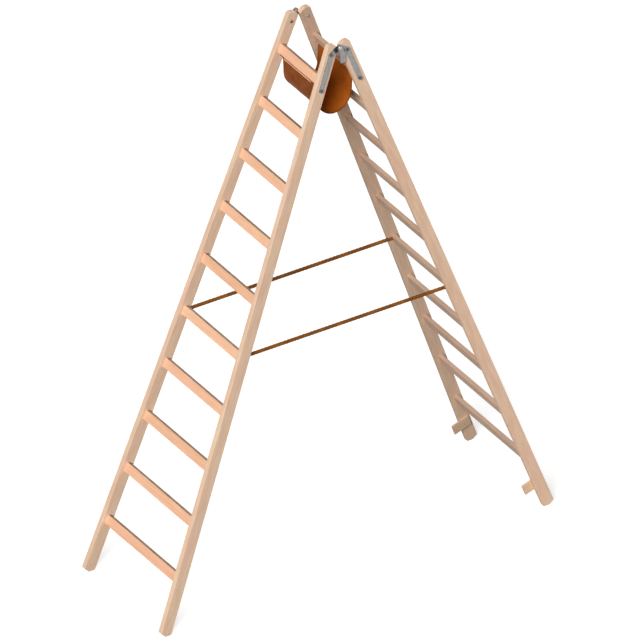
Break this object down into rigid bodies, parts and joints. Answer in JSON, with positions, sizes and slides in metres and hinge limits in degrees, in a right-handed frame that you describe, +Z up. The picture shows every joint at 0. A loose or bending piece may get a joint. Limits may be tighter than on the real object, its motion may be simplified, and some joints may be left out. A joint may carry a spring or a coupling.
{
  "type": "wooden stepladder",
  "caption": "Double-sided wooden rung ladder that stands by itself: two tapered frames on steel hinges, check ropes between the frames and a leather tool pouch under the top.",
  "frame": {"origin": "on the floor, midway between the four feet and below the hinge axis", "axes": "+Z up, +X along the rungs to the side nearer the viewer, +Y from the front frame to the rear frame"},
  "size_m": [0.6882, 2.1498, 2.8154],
  "materials": {
    "stile_wood": "planed, matt",
    "rung_wood": "planed, matt",
    "block_wood": "planed, matt",
    "batten_wood": "planed, matt",
    "hinge_steel": "zinc plated",
    "pin_steel": "bright",
    "bolt_steel": "zinc plated",
    "nail_steel": "plain",
    "leather": "waxed",
    "rope": "laid hemp"
  },
  "bodies": {
    "front_frame": {"front_near_stile": "stile_wood", "front_near_hinge_plate": "hinge_steel", "near_hinge_pin": "pin_steel", "near_rope": "rope", "front_far_stile": "stile_wood", "front_far_hinge_plate": "hinge_steel", "far_hinge_pin": "pin_steel", "far_rope": "rope", "front_rung_01": "rung_wood", "front_rung_02": "rung_wood", "front_rung_03": "rung_wood", "front_rung_04": "rung_wood", "front_rung_05": "rung_wood", "front_rung_06": "rung_wood", "front_rung_07": "rung_wood", "front_rung_08": "rung_wood", "front_rung_09": "rung_wood", "front_rung_10": "rung_wood", "front_carriage_bolts": "bolt_steel", "front_bolt_nuts": "bolt_steel", "front_coach_screws": "bolt_steel", "front_strap_washers": "bolt_steel", "front_rope_nails": "nail_steel", "front_pouch_batten": "batten_wood", "front_batten_nails": "nail_steel", "near_thrust_washer": "bolt_steel", "tool_pouch": "leather"},
    "rear_frame": {"rear_near_stile": "stile_wood", "rear_near_hinge_plate": "hinge_steel", "near_guide_block": "block_wood", "rear_far_stile": "stile_wood", "rear_far_hinge_plate": "hinge_steel", "far_guide_block": "block_wood", "rear_rung_01": "rung_wood", "rear_rung_02": "rung_wood", "rear_rung_03": "rung_wood", "rear_rung_04": "rung_wood", "rear_rung_05": "rung_wood", "rear_rung_06": "rung_wood", "rear_rung_07": "rung_wood", "rear_rung_08": "rung_wood", "rear_rung_09": "rung_wood", "rear_rung_10": "rung_wood", "rear_carriage_bolts": "bolt_steel", "rear_bolt_nuts": "bolt_steel", "rear_coach_screws": "bolt_steel", "rear_strap_washers": "bolt_steel", "rear_rope_nails": "nail_steel", "rear_pouch_batten": "batten_wood", "rear_batten_nails": "nail_steel", "far_thrust_washer": "bolt_steel", "guide_block_screws": "bolt_steel"}
  },
  "joints": [
    {"name": "frame_fold", "type": "hinge", "parent": "front_frame", "child": "rear_frame", "pos_m": [0, 0, 2.797], "axis": [-1, 0, 0], "range_deg": [0, 40], "deforming": ["near_rope", "far_rope", "tool_pouch"]}
  ]
}
